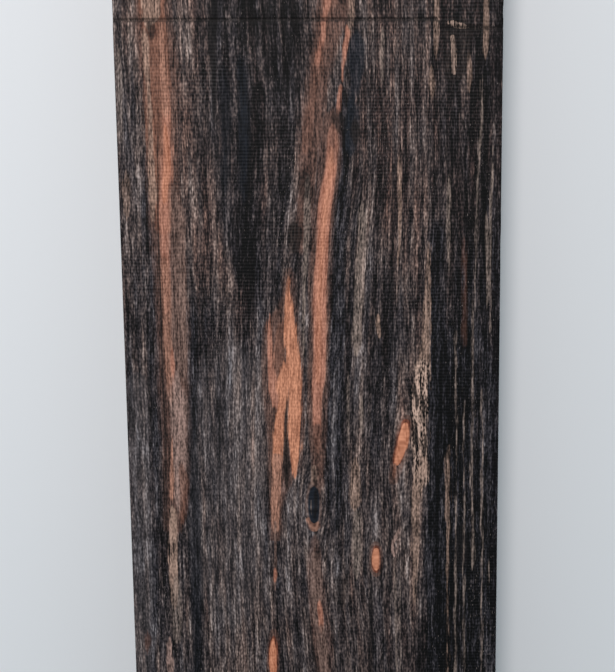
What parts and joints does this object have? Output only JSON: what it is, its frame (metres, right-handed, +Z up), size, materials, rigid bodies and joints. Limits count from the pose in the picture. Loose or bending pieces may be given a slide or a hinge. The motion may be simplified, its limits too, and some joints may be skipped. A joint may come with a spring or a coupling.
{
  "type": "ebony wood blank",
  "caption": "Rectangular sawn blank of dark streaked ebony, grain along its length, for carving, turning or cutting into small parts.",
  "frame": {"origin": "on the surface that the blank lies on, under the middle of the blank", "axes": "+X across the grain along the width, +Y along the grain, +Z up through the thickness, out of the face that the picture shows"},
  "size_m": [0.05, 0.3, 0.025],
  "materials": {
    "ebony": "rough sawn, matte, unfinished"
  },
  "bodies": {
    "root": {"ebony_blank": "ebony"}
  },
  "joints": []
}
